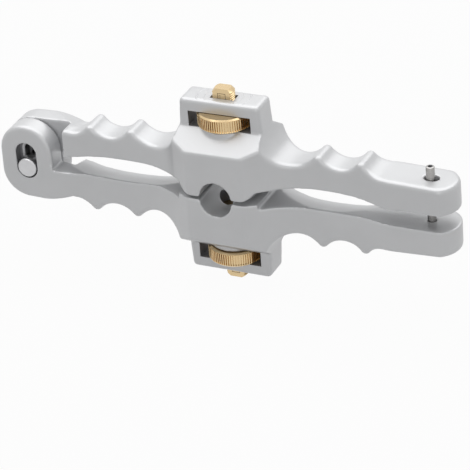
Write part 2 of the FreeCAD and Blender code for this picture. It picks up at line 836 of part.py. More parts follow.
def pivot_collar(name):
    """Collar on the far end of the shank, in the other arm's slot."""
    body = new_body(name)
    sketch = new_sketch(body, "collar_profile", "XZ_Plane", offset=-(S.end_half + S.head_stand))
    circle(sketch, -S.pivot_reach, -S.pivot_drop, S.head_radius)
    pad(body, "collar", sketch, S.head_depth - S.seat_gap + S.head_stand)
    face = (S.end_half + S.head_stand).value
    dress(body, "Chamfer", "collar_bevel", S.small_bevel,
          lambda middle, along, edge: near(middle.y, face))
    sketch = new_sketch(body, "bore_profile", "XZ_Plane")
    circle(sketch, -S.pivot_reach, -S.pivot_drop, S.shank_radius + S.collar_fit)
    cut(body, "bore", sketch)
    return body


def guide_pin(name):
    """Steel guide pin with a hexagon socket in its top."""
    body = new_body(name)
    sketch = new_sketch(body, "pin_profile", "XY_Plane", offset=-S.guide_seat)
    circle(sketch, guide_reach, 0, S.guide_radius)
    pad(body, "pin", sketch, S.guide_seat + S.guide_top)
    dress(body, "Chamfer", "end_bevels", S.small_bevel, lambda middle, along, edge:
          near(middle.z, S.guide_top.value) or near(middle.z, -S.guide_seat.value))
    sketch = new_sketch(body, "socket_profile", "XY_Plane", offset=S.guide_top)
    across = S.guide_socket * 2 / root(dim(3))
    corners = []
    for corner in range(6):
        angle = math.radians(60 * corner)
        corners.append((guide_reach + across * round(math.cos(angle), 9),
                        across * round(math.sin(angle), 9)))
    outline(sketch, corners)
    cut(body, "socket", sketch, S.guide_socket_depth)
    return body


def turn_over(body):
    """Seat a piece of the upper arm: turned over about X, then opened about the pivot."""
    half = math.radians(S.rest_opening.value) / 2
    turn = FreeCAD.Rotation(V(math.cos(half), 0, math.sin(half)), 180)
    before = V(-S.pivot_reach.value, 0, S.pivot_drop.value)
    after = V(-S.pivot_reach.value, 0, -S.pivot_drop.value)
    body.Placement = FreeCAD.Placement(after - turn.multVec(before), turn)
    return body


pieces = [casting("lower_arm", pin_seat), turn_over(casting("upper_arm", pin_passage))]
for side, seat in (("lower", lambda body: body), ("upper", turn_over)):
    pieces.append(seat(thumbwheel(side + "_thumbwheel")))
    pieces.append(seat(blade_holder(side + "_blade_holder")))
    pieces.append(seat(blade(side + "_blade")))
    pieces.append(seat(blade_screw(side + "_blade_screw")))
pieces.append(pivot_pin("pivot_pin"))
pieces.append(pivot_collar("pivot_collar"))
pieces.append(guide_pin("guide_pin"))
doc.recompute()

for item in doc.Objects:
    if "Invalid" in item.State or "Error" in item.State:
        raise RuntimeError("%s failed" % item.Label)
for body in pieces:
    shape = body.Shape
    if shape.isNull() or not shape.isValid() or len(shape.Solids) != 1:
        raise RuntimeError("%s is not one sound solid" % body.Label)

os.makedirs("parts", exist_ok=True)
for body in pieces:
    body.Shape.exportStep("parts/%s.step" % body.Label)
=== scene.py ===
"""A fibre stripper in cast aluminium, brass and steel, on a pale studio floor."""
import math

import bmesh
import bpy
from mathutils import Matrix, Vector


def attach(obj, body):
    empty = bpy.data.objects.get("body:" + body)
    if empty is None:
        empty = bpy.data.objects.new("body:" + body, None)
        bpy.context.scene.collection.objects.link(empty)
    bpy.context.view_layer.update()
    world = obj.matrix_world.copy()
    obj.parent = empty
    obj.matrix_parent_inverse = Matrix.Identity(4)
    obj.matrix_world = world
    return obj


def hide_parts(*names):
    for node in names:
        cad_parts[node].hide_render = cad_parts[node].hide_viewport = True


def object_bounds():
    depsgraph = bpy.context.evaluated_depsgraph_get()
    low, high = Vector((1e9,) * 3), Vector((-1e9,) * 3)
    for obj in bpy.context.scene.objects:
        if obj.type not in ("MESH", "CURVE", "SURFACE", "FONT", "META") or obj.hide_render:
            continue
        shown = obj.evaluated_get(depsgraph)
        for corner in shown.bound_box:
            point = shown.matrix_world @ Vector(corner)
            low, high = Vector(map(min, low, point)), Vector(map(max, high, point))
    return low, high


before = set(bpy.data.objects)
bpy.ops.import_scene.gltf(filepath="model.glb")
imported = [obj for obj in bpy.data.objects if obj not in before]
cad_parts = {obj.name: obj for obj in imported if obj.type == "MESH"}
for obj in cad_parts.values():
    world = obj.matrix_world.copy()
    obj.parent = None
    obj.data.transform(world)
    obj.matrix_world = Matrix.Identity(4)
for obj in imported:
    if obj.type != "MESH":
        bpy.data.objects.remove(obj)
cad_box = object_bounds()


# The cast arms: two castings from one pattern, in satin aluminium. Tumbling eases every outer
# edge; the hinge slot, the nut's window, the bore and the roof's hole are milled afterwards.
# Sizes are millimetres on the lower arm, with X toward the nose and the blade axis along Z.

MM = 0.001
CAST_GREY = (0.66, 0.665, 0.675, 1.0)
CAST_PORES = (0.58, 0.585, 0.595, 1.0)
# Painted shade: the milled walls of window, bore, slot, key socket and drive slot are coloured
# dark grey.
CAVITY_PAINTED_SHADE = (0.24, 0.24, 0.25, 1.0)
# Painted shadow: the slot's deep, narrow step is coloured near-black.
SLOT_PAINTED_SHADOW = (0.035, 0.035, 0.036, 1.0)


def bare_metal(name, metallic, roughness=0.5):
    """A new material; gives it with its node tree and its shader."""
    metal = bpy.data.materials.new(name)
    metal.use_nodes = True
    shader = metal.node_tree.nodes["Principled BSDF"]
    shader.inputs["Metallic"].default_value = metallic
    shader.inputs["Roughness"].default_value = roughness
    return metal, metal.node_tree, shader


def noise(tree, scale, detail, stretch=None):
    """A noise pattern on the piece's own coordinates, plain or stretched."""
    place = tree.nodes.new("ShaderNodeTexCoord").outputs["Object"]
    if stretch:
        mapping = tree.nodes.new("ShaderNodeMapping")
        mapping.inputs["Scale"].default_value = stretch
        tree.links.new(place, mapping.inputs["Vector"])
        place = mapping.outputs["Vector"]
    pattern = tree.nodes.new("ShaderNodeTexNoise")
    pattern.inputs["Scale"].default_value = scale
    pattern.inputs["Detail"].default_value = detail
    tree.links.new(place, pattern.inputs["Vector"])
    return pattern.outputs["Fac"]


def shaded(colour, share):
    """The colour made darker or lighter by a share."""
    return [value * share for value in colour[:3]] + [1.0]


def mottle(tree, pattern, low, high, shader):
    """Colours the metal between two tones by a pattern."""
    tint = tree.nodes.new("ShaderNodeMix")
    tint.data_type = "RGBA"
    tint.inputs[6].default_value = low
    tint.inputs[7].default_value = high
    tree.links.new(pattern, tint.inputs[0])
    tree.links.new(tint.outputs[2], shader.inputs["Base Color"])


def spread(tree, pattern, low, high, socket):
    """Sets a socket between two values by a pattern."""
    reach = tree.nodes.new("ShaderNodeMapRange")
    reach.inputs["To Min"].default_value = low
    reach.inputs["To Max"].default_value = high
    tree.links.new(pattern, reach.inputs["Value"])
    tree.links.new(reach.outputs["Result"], socket)


def relief(tree, pattern, strength, depth, shader):
    """Raises the metal's surface by a pattern."""
    bump = tree.nodes.new("ShaderNodeBump")
    bump.inputs["Strength"].default_value = strength
    bump.inputs["Distance"].default_value = depth * MM
    tree.links.new(pattern, bump.inputs["Height"])
    tree.links.new(bump.outputs["Normal"], shader.inputs["Normal"])


def cast_aluminium():
    """Satin cast metal: fine grain, faint cloudiness and a light burnish."""
    metal, tree, shader = bare_metal("cast_aluminium", metallic=0.35)
    shader.inputs["IOR"].default_value = 1.6
    cloud = noise(tree, scale=60, detail=4)
    mottle(tree, cloud, CAST_PORES, CAST_GREY, shader)
    spread(tree, cloud, low=0.30, high=0.42, socket=shader.inputs["Roughness"])
    grain = noise(tree, scale=2600, detail=3)
    relief(tree, grain, strength=0.12, depth=0.06, shader=shader)
    return metal


def milled_painted_shade(name, shade):
    """Milled walls inside window, bore and slot, dull, and painted dark grey as the shade in these
    recesses.
    """
    metal, tree, shader = bare_metal(name, metallic=0.6)
    mottle(tree, noise(tree, scale=180, detail=3), shade, shaded(shade, 1.5), shader)
    return metal


def block(form, low, high):
    """Adds a closed block between two corners."""
    middle = (Vector(low) + Vector(high)) * MM / 2
    span = (Vector(high) - Vector(low)) * MM
    bmesh.ops.create_cube(form, size=1.0,
                          matrix=Matrix.Translation(middle) @ Matrix.Diagonal((*span, 1.0)))


def rod(radius, start, end):
    """The profile of a plain round rod, as (radius, height) pairs."""
    return [(0, start), (radius, start), (radius, end), (0, end)]


def turned(form, profile, sides=96):
    """Turns (radius, height) pairs into a closed solid about Z, or into a closed ring."""
    rings = []
    for radius, height in profile:
        if radius == 0:
            rings.append([form.verts.new((0, 0, height * MM))])
            continue
        rings.append([form.verts.new((radius * MM * math.cos(math.tau * side / sides),
                                      radius * MM * math.sin(math.tau * side / sides),
                                      height * MM)) for side in range(sides)])
    if profile[0][0] != 0:
        rings.append(rings[0])
    for ring, next_ring in zip(rings, rings[1:]):
        for side in range(sides):
            after = (side + 1) % sides
            corners = []
            for edge, first, second in ((ring, side, after), (next_ring, after, side)):
                corners.append(edge[first % len(edge)])
                if len(edge) > 1:
                    corners.append(edge[second])
            form.faces.new(corners)


def solid(name, form, metal, place=Matrix()):
    """Makes the form an object at the origin, with its place in its mesh."""
    bmesh.ops.recalc_face_normals(form, faces=form.faces)
    mesh = bpy.data.meshes.new(name)
    form.to_mesh(mesh)
    form.free()
    mesh.transform(place)
    mesh.materials.append(metal)
    piece = bpy.data.objects.new(name, mesh)
    bpy.context.scene.collection.objects.link(piece)
    return piece


def turned_solid(name, profile, metal, place=Matrix(), sides=96):
    """A piece, or a cutter, straight off the lathe."""
    form = bmesh.new()
    turned(form, profile, sides)
    return solid(name, form, metal, place)


def milled_solid(name, corners, metal, place=Matrix()):
    """A piece, or a cutter, made of one block or more, each from a low and a high corner."""
    form = bmesh.new()
    for low, high in corners:
        block(form, low, high)
    return solid(name, form, metal, place)


def settle(piece):
    """Turns the piece with its modifiers into a plain mesh."""
    made = piece.evaluated_get(bpy.context.evaluated_depsgraph_get())
    mesh = bpy.data.meshes.new_from_object(made)
    piece.modifiers.clear()
    piece.data = mesh


def carve(piece, tool, solver="EXACT"):
    """Cuts the tool's shape out of the piece; the cut faces take the tool's material."""
    cut = piece.modifiers.new("cut", "BOOLEAN")
    cut.operation = "DIFFERENCE"
    cut.solver = solver
    cut.object = tool
    cut.material_mode = "TRANSFER"
    settle(piece)
    bpy.data.objects.remove(tool)


def finish_edges(piece, angle=32):
    """Shades the piece smooth, with every edge past the angle kept crisp."""
    piece.data.shade_smooth()
    piece.data.set_sharp_from_angle(angle=math.radians(angle))


SKIN_WELD = 0.002
SKIN_CELL = 0.51
SKIN_PASSES = 4
NOSE_CENTRE = 93.4
NOSE_ROOM = 30.0
NOSE_EDGE = ((11.5, -12.5), (11.3, -13.4), (10.8, -14.1), (9.9, -14.6), (9.6, -16.0))  # R, Z
WINDOW_HALF = 14.5
WINDOW_BASE = -28.0
WINDOW_ROOF = -35.1
PLUG_LAP = 0.5
HOUSING_FACE = 6.8
HOUSING_TIP = -40.4
HOUSING_ROUND = 1.9
CROWN_HALF = 12.8
CROWN_STEPS = (0.0, 0.4, 0.75, 1.0)
BOSS_RADIUS = 10.8
BOSS_ROOT = -20.0


def pattern_copy(node, name):
    """A copy of the arm's solid, with its loose triangles joined."""
    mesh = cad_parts[node].data.copy()
    form = bmesh.new()
    form.from_mesh(mesh)
    bmesh.ops.remove_doubles(form, verts=form.verts, dist=SKIN_WELD * MM)
    form.to_mesh(mesh)
    form.free()
    skin = bpy.data.objects.new(name, mesh)
    bpy.context.scene.collection.objects.link(skin)
    return skin


def trim_nose(skin, metal, place):
    """Rounds the nose: ahead of its centre, only what a turned end would hold is kept."""
    ahead = milled_solid("nose_cutter", [((NOSE_CENTRE, -NOSE_ROOM, -NOSE_ROOM),
                                          (NOSE_CENTRE + NOSE_ROOM, NOSE_ROOM, NOSE_ROOM))],
                         metal)
    crown = NOSE_ROOM * 2
    kept = [(0, crown), (NOSE_EDGE[0][0], crown), *NOSE_EDGE, (0, NOSE_EDGE[-1][1])]
    carve(ahead, turned_solid("nose_end", kept, metal,
                              Matrix.Translation((NOSE_CENTRE * MM, 0, 0))))
    ahead.data.transform(place)
    carve(skin, ahead)


def plug_openings(skin, place):
    """Fills the window and the roof up to its crown, and adds the nut's round seat."""
    plug = bmesh.new()
    block(plug, (-WINDOW_HALF - PLUG_LAP, -HOUSING_FACE, WINDOW_ROOF - PLUG_LAP),
          (WINDOW_HALF + PLUG_LAP, HOUSING_FACE, WINDOW_BASE + PLUG_LAP))
    for inset in CROWN_STEPS:
        crown = HOUSING_TIP + HOUSING_ROUND - math.sqrt(HOUSING_ROUND ** 2 - inset ** 2)
        edge = HOUSING_FACE - HOUSING_ROUND + inset
        block(plug, (-CROWN_HALF, -edge, crown), (CROWN_HALF, edge, WINDOW_ROOF))
    turned(plug, rod(BOSS_RADIUS, BOSS_ROOT, WINDOW_BASE))
    bmesh.ops.recalc_face_normals(plug, faces=plug.faces)
    plug.transform(place)
    plug_mesh = bpy.data.meshes.new("plug")
    plug.to_mesh(plug_mesh)
    plug.free()
    form = bmesh.new()
    form.from_mesh(skin.data)
    form.from_mesh(plug_mesh)
    form.to_mesh(skin.data)
    form.free()


def tumble(skin, metal):
    """Eases every edge, as tumbling does: a fine new skin, smoothed a few times."""
    remesh = skin.modifiers.new("skin", "REMESH")
    remesh.mode = "VOXEL"
    remesh.voxel_size = SKIN_CELL * MM
    remesh.use_smooth_shade = True
    ease = skin.modifiers.new("ease", "SMOOTH")
    ease.factor = 0.5
    ease.iterations = SKIN_PASSES
    settle(skin)
    skin.data.materials.clear()
    skin.data.materials.append(metal)


HINGE_REACH = -94.5
HINGE_DROP = 2.6
REST_OPENING = math.radians(0.95)
SLOT_LOW = -2.6
SLOT_HIGH = 4.5
SLOT_WALLS = ((4.92, -12.0, -5.6), (2.72, -6.0, 0.5))  # radius, front and rear of each step
SLOT_SIDES = 64
BORE_RADIUS = 5.63
BORE_MOUTH = -1.0
ROOF_HOLE_HALF = 5.6
ROOF_HOLE_WIDTH = 2.6
RING_MARKS = ((11.8, 0.7, 0.22), (8.4, 0.5, 0.12))  # radius, width and depth
RING_LIP = 0.2
CUT_LAP = 1.0
CUT_THROUGH = 20.0
CASTING_CREASE = 35


def slot_cutter(radius, front, rear, metal, place):
    """A round-ended upright slot's shape, from front to rear."""
    form = bmesh.new()
    turned(form, rod(radius, -rear, -front), SLOT_SIDES)
    for corner in form.verts:
        if corner.co.y > 0:
            corner.co.y += (SLOT_HIGH - SLOT_LOW) * MM
    stand = Matrix.Translation(Vector((HINGE_REACH, 0, SLOT_LOW)) * MM) @ Matrix.Rotation(
        math.radians(90), 4, "X")
    return solid("slot_cutter", form, metal, place @ stand)


def mill_openings(casting, place, skin_metal, cavity_painted_shade, deep_painted_shadow):
    """Mills the stepped slot, the window, the bore, the roof's hole and the ring marks. Milled
    walls take painted shade; the slot's deep step takes near-black painted shadow.
    """
    for (radius, front, rear), metal in zip(SLOT_WALLS, (cavity_painted_shade, deep_painted_shadow)):
        carve(casting, slot_cutter(radius, front, rear, metal, place), "MANIFOLD")
    window = [((-WINDOW_HALF, -CUT_THROUGH, WINDOW_ROOF), (WINDOW_HALF, CUT_THROUGH, WINDOW_BASE))]
    carve(casting, milled_solid("window_cutter", window, cavity_painted_shade, place), "MANIFOLD")
    hole = bmesh.new()
    block(hole, (-ROOF_HOLE_HALF, -ROOF_HOLE_WIDTH, HOUSING_TIP - CUT_LAP),
          (ROOF_HOLE_HALF, ROOF_HOLE_WIDTH, WINDOW_ROOF + CUT_LAP))
    turned(hole, rod(BORE_RADIUS, BORE_MOUTH, WINDOW_BASE - CUT_LAP))
    carve(casting, solid("hole_cutter", hole, cavity_painted_shade, place), "MANIFOLD")
    for radius, width, depth in RING_MARKS:
        groove = [(radius - width / 4, HOUSING_TIP + depth),
                  (radius + width / 4, HOUSING_TIP + depth),
                  (radius + width, HOUSING_TIP - RING_LIP),
                  (radius - width, HOUSING_TIP - RING_LIP)]
        carve(casting, turned_solid("ring_cutter", groove, skin_metal, place), "MANIFOLD")


# The upper arm is the lower one given a half turn, and opened a little about the hinge pin.
half_turn = Matrix.Rotation(math.pi, 4, (math.cos(REST_OPENING / 2), 0,
                                         math.sin(REST_OPENING / 2)))
hinge_under = Vector((HINGE_REACH, 0, HINGE_DROP)) * MM
hinge_over = Vector((HINGE_REACH, 0, -HINGE_DROP)) * MM
seats = {"lower": Matrix(),
         "upper": Matrix.Translation(hinge_over - half_turn @ hinge_under) @ half_turn}
casting_metal = cast_aluminium()
painted_shade_metal = milled_painted_shade("milled_cavity_painted_shade", CAVITY_PAINTED_SHADE)
slot_shadow_metal = milled_painted_shade("slot_painted_shadow", SLOT_PAINTED_SHADOW)
for side, seat in seats.items():
    arm = pattern_copy(side + "_arm", side + "_casting")
    trim_nose(arm, casting_metal, seat)
    plug_openings(arm, seat)
    tumble(arm, casting_metal)
    mill_openings(arm, seat, casting_metal, painted_shade_metal, slot_shadow_metal)
    finish_edges(arm, CASTING_CREASE)
    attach(arm, side + "_arm")
    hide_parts(side + "_arm")


# Hinge pin, its collar and the guide pin: turned steel, left bright. The hinge pin's flat head
# slides in the front slot and the collar in the back one; the guide pin is screwed in by a key.

PIN_STEEL = (0.60, 0.60, 0.61, 1.0)
GUIDE_GREY = (0.42, 0.41, 0.40, 1.0)
MARK_PHASE = 0.18
WAVE_RATE = 20
MARK_RELIEF = 0.25
MARK_DEPTH = 0.02
DULLER = 0.08
BRIGHTER = 0.05
HEAD_RADIUS = 4.5
HEAD_SEAT = 5.7
HEAD_FACE = 10.2
HEAD_EDGE = ((0.8, 0), (0.4, 0.06), (0.1, 0.4), (0, 0.6))  # set in, set down
HEAD_BREAK = 0.2
SHANK_RADIUS = 2.5
SHANK_BREAK = 0.3
CENTRE_RADIUS = 1.2
CENTRE_DEPTH = 0.35
COLLAR_BORE = 2.53
COLLAR_LEAD = 0.25
COLLAR_BEVEL = 0.4
GUIDE_REACH = 92.0
GUIDE_RADIUS = 1.9
GUIDE_SEAT = -11.0
GUIDE_TOP = 23.3
GUIDE_LEAD = 0.4
GUIDE_EDGE = ((0, 0.45), (0.15, 0.15), (0.4, 0))
SOCKET_RADIUS = 1.1547
SOCKET_DEPTH = 1.5
SOCKET_POINT = 0.5
SOCKET_SIDES = 6


def turning_marks(tree, shader, centre, axis):
    """Fine rings left by the lathe, tau times MARK_PHASE apart, round an axis."""
    place = tree.nodes.new("ShaderNodeTexCoord")
    about = tree.nodes.new("ShaderNodeMapping")
    about.inputs["Location"].default_value = [-value * MM for value in centre]
    tree.links.new(place.outputs["Object"], about.inputs["Vector"])
    rings = tree.nodes.new("ShaderNodeTexWave")
    rings.wave_type = "RINGS"
    rings.rings_direction = axis
    rings.inputs["Scale"].default_value = 1 / (MARK_PHASE * MM * WAVE_RATE)
    rings.inputs["Distortion"].default_value = 0.6
    rings.inputs["Detail"].default_value = 2
    tree.links.new(about.outputs["Vector"], rings.inputs["Vector"])
    relief(tree, rings.outputs["Fac"], MARK_RELIEF, MARK_DEPTH, shader)


def turned_metal(name, colour, tarnish, roughness, centre, axis="Z"):
    """Bright metal off the lathe: its colour, faint tarnish, turning marks and gloss."""
    metal, tree, shader = bare_metal(name, metallic=1.0)
    turning_marks(tree, shader, centre, axis)
    wear = noise(tree, scale=400, detail=5)
    mottle(tree, wear, shaded(colour, tarnish), colour, shader)
    spread(tree, wear, roughness + DULLER, roughness - BRIGHTER, shader.inputs["Roughness"])
    return metal


def eased_rim(radius, height, edge):
    """The points of an eased edge, from how far each is set in and down."""
    return [(radius - inset, height - drop) for inset, drop in edge]


hinge_steel = turned_metal("hinge_steel", PIN_STEEL, tarnish=0.86, roughness=0.32,
                           centre=(HINGE_REACH, 0, -HINGE_DROP), axis="Y")
guide_steel = turned_metal("guide_steel", GUIDE_GREY, tarnish=0.7, roughness=0.24,
                           centre=(GUIDE_REACH, 0, 0))
along_hinge = (Matrix.Translation(Vector((HINGE_REACH, 0, -HINGE_DROP)) * MM)
               @ Matrix.Rotation(math.radians(90), 4, "X"))

hinge_pin = turned_solid("hinge_pin", [
    (0, HEAD_FACE), *eased_rim(HEAD_RADIUS, HEAD_FACE, HEAD_EDGE),
    (HEAD_RADIUS, HEAD_SEAT + HEAD_BREAK), (HEAD_RADIUS - HEAD_BREAK, HEAD_SEAT),
    (SHANK_RADIUS, HEAD_SEAT), (SHANK_RADIUS, -HEAD_FACE + SHANK_BREAK),
    (SHANK_RADIUS - SHANK_BREAK, -HEAD_FACE), (CENTRE_RADIUS, -HEAD_FACE),
    (0, -HEAD_FACE + CENTRE_DEPTH)], hinge_steel, along_hinge)
finish_edges(hinge_pin)
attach(hinge_pin, "pivot")
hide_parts("pivot_pin")

hinge_collar = turned_solid("hinge_collar", [
    (COLLAR_BORE, -HEAD_SEAT), (COLLAR_BORE, -HEAD_FACE + COLLAR_LEAD),
    (COLLAR_BORE + COLLAR_LEAD, -HEAD_FACE), (HEAD_RADIUS - COLLAR_BEVEL, -HEAD_FACE),
    (HEAD_RADIUS, -HEAD_FACE + COLLAR_BEVEL), (HEAD_RADIUS, -HEAD_SEAT)],
    hinge_steel, along_hinge)
finish_edges(hinge_collar)
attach(hinge_collar, "collar")
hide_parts("pivot_collar")

at_guide = Matrix.Translation((GUIDE_REACH * MM, 0, 0))
nose_pin = turned_solid("nose_pin", [
    (0, GUIDE_SEAT), (GUIDE_RADIUS - GUIDE_LEAD, GUIDE_SEAT),
    (GUIDE_RADIUS, GUIDE_SEAT + GUIDE_LEAD), *eased_rim(GUIDE_RADIUS, GUIDE_TOP, GUIDE_EDGE),
    (0, GUIDE_TOP)], guide_steel, at_guide)
socket = [(0, GUIDE_TOP + CUT_LAP), (SOCKET_RADIUS, GUIDE_TOP + CUT_LAP),
          (SOCKET_RADIUS, GUIDE_TOP - SOCKET_DEPTH), (0, GUIDE_TOP - SOCKET_DEPTH - SOCKET_POINT)]
# The key socket's walls take the painted shade of the milled cavities.
carve(nose_pin, turned_solid("key_cutter", socket, painted_shade_metal, at_guide, SOCKET_SIDES))
finish_edges(nose_pin)
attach(nose_pin, "lower_arm")
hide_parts("guide_pin")


# Blade cartridges: brass, turned, with a threaded stem milled flat on two sides and a slit head.
# Each flat has an engraved scale, and a scoop and a counterbore are cut across the head.

BRASS = (0.72, 0.55, 0.32, 1.0)
BRASS_MARKS = -31.5
HEAD_END = -10.5
WAIST = -24.0
WAIST_BREAK = 0.25
STEM_TIP = -45.0
CARTRIDGE_RADIUS = 5.5
CARTRIDGE_EDGE = ((0, 0.5), (0.2, 0.12), (0.5, 0))
STEM_RADIUS = 4.9
STEM_FLAT = 2.5
TIP_BEVEL = 1.3
THREAD_PITCH = 1.0
THREAD_DEPTH = 0.45
THREAD_CREST = 0.25
THREAD_ROOT = 0.85
THREAD_SLICES = 8
THREAD_RELIEF = 0.3
OUTSIDE = 1.0
INSIDE = -1.0
CUT_REACH = 8.0
SLIT_HALF = 0.5
SLIT_END = -20.4
SCREW_HEIGHT = -14.5
SCREW_HOLE = 1.3
SCREW_SEAT = 3.0
SCREW_SINK = 2.4
SCREW_SIDES = 48
SCOOP_RADIUS = 5.5
SCOOP_DEPTH = 0.9


def node_inputs(tree, names):
    """Gives a Geometry Nodes tree its named inputs, each of the kind its last word tells."""
    face = tree.interface
    face.new_socket("Geometry", in_out="INPUT", socket_type="NodeSocketGeometry")
    for name in names:
        kind = {"Metal": "NodeSocketMaterial", "Count": "NodeSocketInt"}.get(
            name.split()[-1], "NodeSocketFloat")
        face.new_socket(name, in_out="INPUT", socket_type=kind)
    face.new_socket("Geometry", in_out="OUTPUT", socket_type="NodeSocketGeometry")
    return tree.nodes.new("NodeGroupInput").outputs, tree.nodes.new("NodeGroupOutput").inputs


def feed(tree, step, values):
    """Gives a step its inputs in order, each a number or a link."""
    for socket, value in zip(step.inputs, values):
        if isinstance(value, (int, float)):
            socket.default_value = value
        else:
            tree.links.new(value, socket)
    return step.outputs[0]


def sum_up(tree, operation, *values):
    """One step of arithmetic."""
    step = tree.nodes.new("ShaderNodeMath")
    step.operation = operation
    return feed(tree, step, values)


def joined(tree, x, y, z):
    """Three values as one vector."""
    return feed(tree, tree.nodes.new("ShaderNodeCombineXYZ"), (x, y, z))


def finish_tree(tree, geometry, metal, result):
    """Ends a tree in real geometry with its material."""
    real = tree.nodes.new("GeometryNodeRealizeInstances")
    tree.links.new(geometry, real.inputs[0])
    coat = tree.nodes.new("GeometryNodeSetMaterial")
    tree.links.new(real.outputs[0], coat.inputs["Geometry"])
    tree.links.new(metal, coat.inputs["Material"])
    tree.links.new(coat.outputs[0], result[0])


def grow(piece, tree, values):
    """Runs a tree on the piece with these sizes and keeps the result as its mesh."""
    step = piece.modifiers.new(tree.name, "NODES")
    step.node_group = tree
    for socket in tree.interface.items_tree:
        if socket.in_out == "INPUT" and socket.name in values:
            step[socket.identifier] = values[socket.name]
    settle(piece)


def thread_tree():
    """A screw thread: what stands outside the thread's flanks is turned away."""
    tree = bpy.data.node_groups.new("cut_thread", "GeometryNodeTree")
    given, result = node_inputs(tree, ("Pitch", "Depth", "Crest", "Low", "High", "Side",
                                       "Metal"))
    spot = tree.nodes.new("GeometryNodeInputPosition")
    parts = tree.nodes.new("ShaderNodeSeparateXYZ")
    tree.links.new(spot.outputs[0], parts.inputs[0])
    x, y, z = parts.outputs
    turn = sum_up(tree, "DIVIDE", sum_up(tree, "ARCTAN2", y, x), math.tau)
    rise = sum_up(tree, "DIVIDE", z, given["Pitch"])
    phase = sum_up(tree, "FRACT", sum_up(tree, "SUBTRACT", rise, turn))
    flank = sum_up(tree, "ABSOLUTE", sum_up(tree, "SUBTRACT",
                                            sum_up(tree, "MULTIPLY", phase, 2.0), 1.0))
    groove = tree.nodes.new("ShaderNodeMapRange")
    groove.inputs["From Min"].default_value = THREAD_CREST
    groove.inputs["From Max"].default_value = THREAD_ROOT
    tree.links.new(flank, groove.inputs["Value"])
    sunk = sum_up(tree, "MULTIPLY", sum_up(tree, "MULTIPLY", groove.outputs[0],
                                           given["Depth"]), given["Side"])
    reach = sum_up(tree, "SQRT", sum_up(tree, "ADD", sum_up(tree, "MULTIPLY", x, x),
                                        sum_up(tree, "MULTIPLY", y, y)))
    target = sum_up(tree, "SUBTRACT", given["Crest"], sunk)
    kept = sum_up(tree, "MULTIPLY", given["Side"], sum_up(
        tree, "MINIMUM", sum_up(tree, "MULTIPLY", reach, given["Side"]),
        sum_up(tree, "MULTIPLY", target, given["Side"])))
    share = sum_up(tree, "DIVIDE", kept, reach)
    moved = joined(tree, sum_up(tree, "MULTIPLY", x, share), sum_up(tree, "MULTIPLY", y, share), z)
    inside = sum_up(tree, "MULTIPLY", sum_up(tree, "GREATER_THAN", z, given["Low"]),
                    sum_up(tree, "LESS_THAN", z, given["High"]))
    cut = tree.nodes.new("GeometryNodeSetPosition")
    tree.links.new(given["Geometry"], cut.inputs["Geometry"])
    tree.links.new(inside, cut.inputs["Selection"])
    tree.links.new(moved, cut.inputs["Position"])
    finish_tree(tree, cut.outputs[0], given["Metal"], result)
    return tree


cut_thread = thread_tree()


def thread_blank(radius, start, end, pitch):
    """Points along a side that is to be threaded, with some for every turn."""
    slices = round(abs(end - start) / pitch * THREAD_SLICES)
    return [(radius, start + (end - start) * step / slices) for step in range(slices + 1)]


def cut_threads(piece, pitch, depth, crest, low, high, side, metal):
    """Cuts a thread between two heights, on the outside of a stem or the inside of a bore."""
    grow(piece, cut_thread, {"Pitch": pitch * MM, "Depth": depth * MM, "Crest": crest * MM,
                             "Low": low * MM, "High": high * MM, "Side": side, "Metal": metal})


SCALE_FRAME = (3.8, 8.2)
SCALE_START = -42.9
SCALE_LINE = 0.22
SCALE_DEPTH = 0.14
TICKS = 9
TICK_STEP = 0.8
TICK_LENGTH = 0.9
TICK_LINE_SHARE = 0.8
TICK_INSET = 1.0
MIDDLE_TICK_EXTRA = 0.6
MIDDLE_TICK_MARGIN = 0.1
NUMBER = "5"
NUMBER_SIZE = 2.2
NUMBER_INSET = 1.1
NUMBER_WELD = 0.001
ENGRAVED = (0.06, 0.045, 0.03, 1.0)


def scale_tree():
    """A row of engraved ticks along Z, the middle one longer."""
    tree = bpy.data.node_groups.new("scale_ticks", "GeometryNodeTree")
    given, result = node_inputs(tree, ("Tick Count", "Step", "Length", "Line", "Thickness",
                                       "Metal"))
    row = tree.nodes.new("GeometryNodeMeshLine")
    tree.links.new(given["Tick Count"], row.inputs["Count"])
    tree.links.new(joined(tree, 0.0, 0.0, given["Step"]), row.inputs["Offset"])
    bar = tree.nodes.new("GeometryNodeMeshCube")
    tree.links.new(joined(tree, given["Length"], given["Thickness"], given["Line"]),
                   bar.inputs["Size"])
    order = tree.nodes.new("GeometryNodeInputIndex")
    middle = sum_up(tree, "DIVIDE", sum_up(tree, "SUBTRACT", given["Tick Count"], 1.0), 2.0)
    longer = sum_up(tree, "COMPARE", order.outputs[0], middle, MIDDLE_TICK_MARGIN)
    stretch = sum_up(tree, "ADD", 1.0, sum_up(tree, "MULTIPLY", longer, MIDDLE_TICK_EXTRA))
    set_out = tree.nodes.new("GeometryNodeInstanceOnPoints")
    tree.links.new(row.outputs[0], set_out.inputs["Points"])
    tree.links.new(bar.outputs[0], set_out.inputs["Instance"])
    tree.links.new(joined(tree, stretch, 1.0, 1.0), set_out.inputs["Scale"])
    finish_tree(tree, set_out.outputs[0], given["Metal"], result)
    return tree


scale_ticks = scale_tree()


def frame_cutter(face, low, high, metal):
    """The scale's frame: a thin plate across the flat, with its middle taken out."""
    half = SCALE_FRAME[0] / 2
    sides = sorted((face - SCALE_DEPTH, face + SCALE_DEPTH))
    plate = milled_solid("frame_cutter", [((-half, sides[0], low), (half, sides[1], high))],
                         metal)
    middle = [((SCALE_LINE - half, sides[0] - CUT_LAP, low + SCALE_LINE),
               (half - SCALE_LINE, sides[1] + CUT_LAP, high - SCALE_LINE))]
    carve(plate, milled_solid("frame_inside", middle, metal))
    return plate


